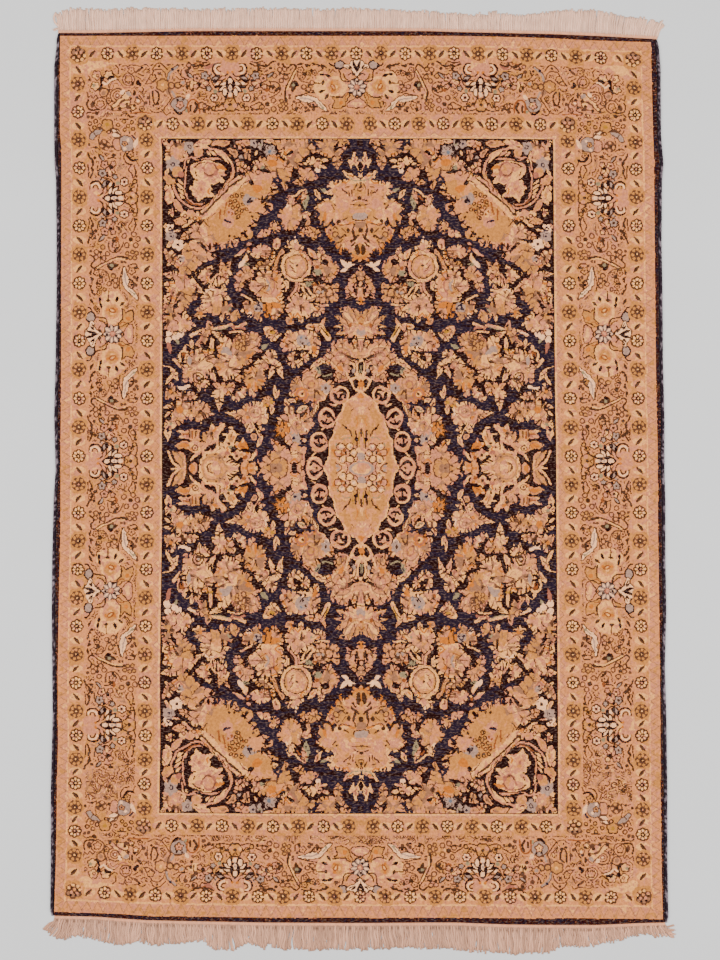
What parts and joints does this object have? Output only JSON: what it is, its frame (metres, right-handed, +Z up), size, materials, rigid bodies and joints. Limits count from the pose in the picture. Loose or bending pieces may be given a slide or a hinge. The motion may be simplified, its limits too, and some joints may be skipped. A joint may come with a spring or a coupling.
{
  "type": "kashmir silk rug",
  "caption": "Rectangular knotted silk rug lying flat, with overcast side cords and a short fringe of warp ends at both ends; it covers and softens a floor.",
  "frame": {"origin": "centre of the rug's outer box, fringes included, on the plane of its underside", "axes": "+Y up the length towards the top fringe, +X across the width to the right, +Z up out of the pile"},
  "size_m": [1.289, 1.9506, 0.005],
  "materials": {
    "silk_pile": "knotted silk pile, cropped short",
    "selvedge_yarn": "overcast yarn, worn",
    "warp_yarn": "loose twisted warp ends"
  },
  "bodies": {
    "root": {"rug_cloth": "silk_pile", "selvedge_left": "selvedge_yarn", "selvedge_right": "selvedge_yarn", "fringe_top": "warp_yarn", "fringe_bottom": "warp_yarn"}
  },
  "joints": []
}
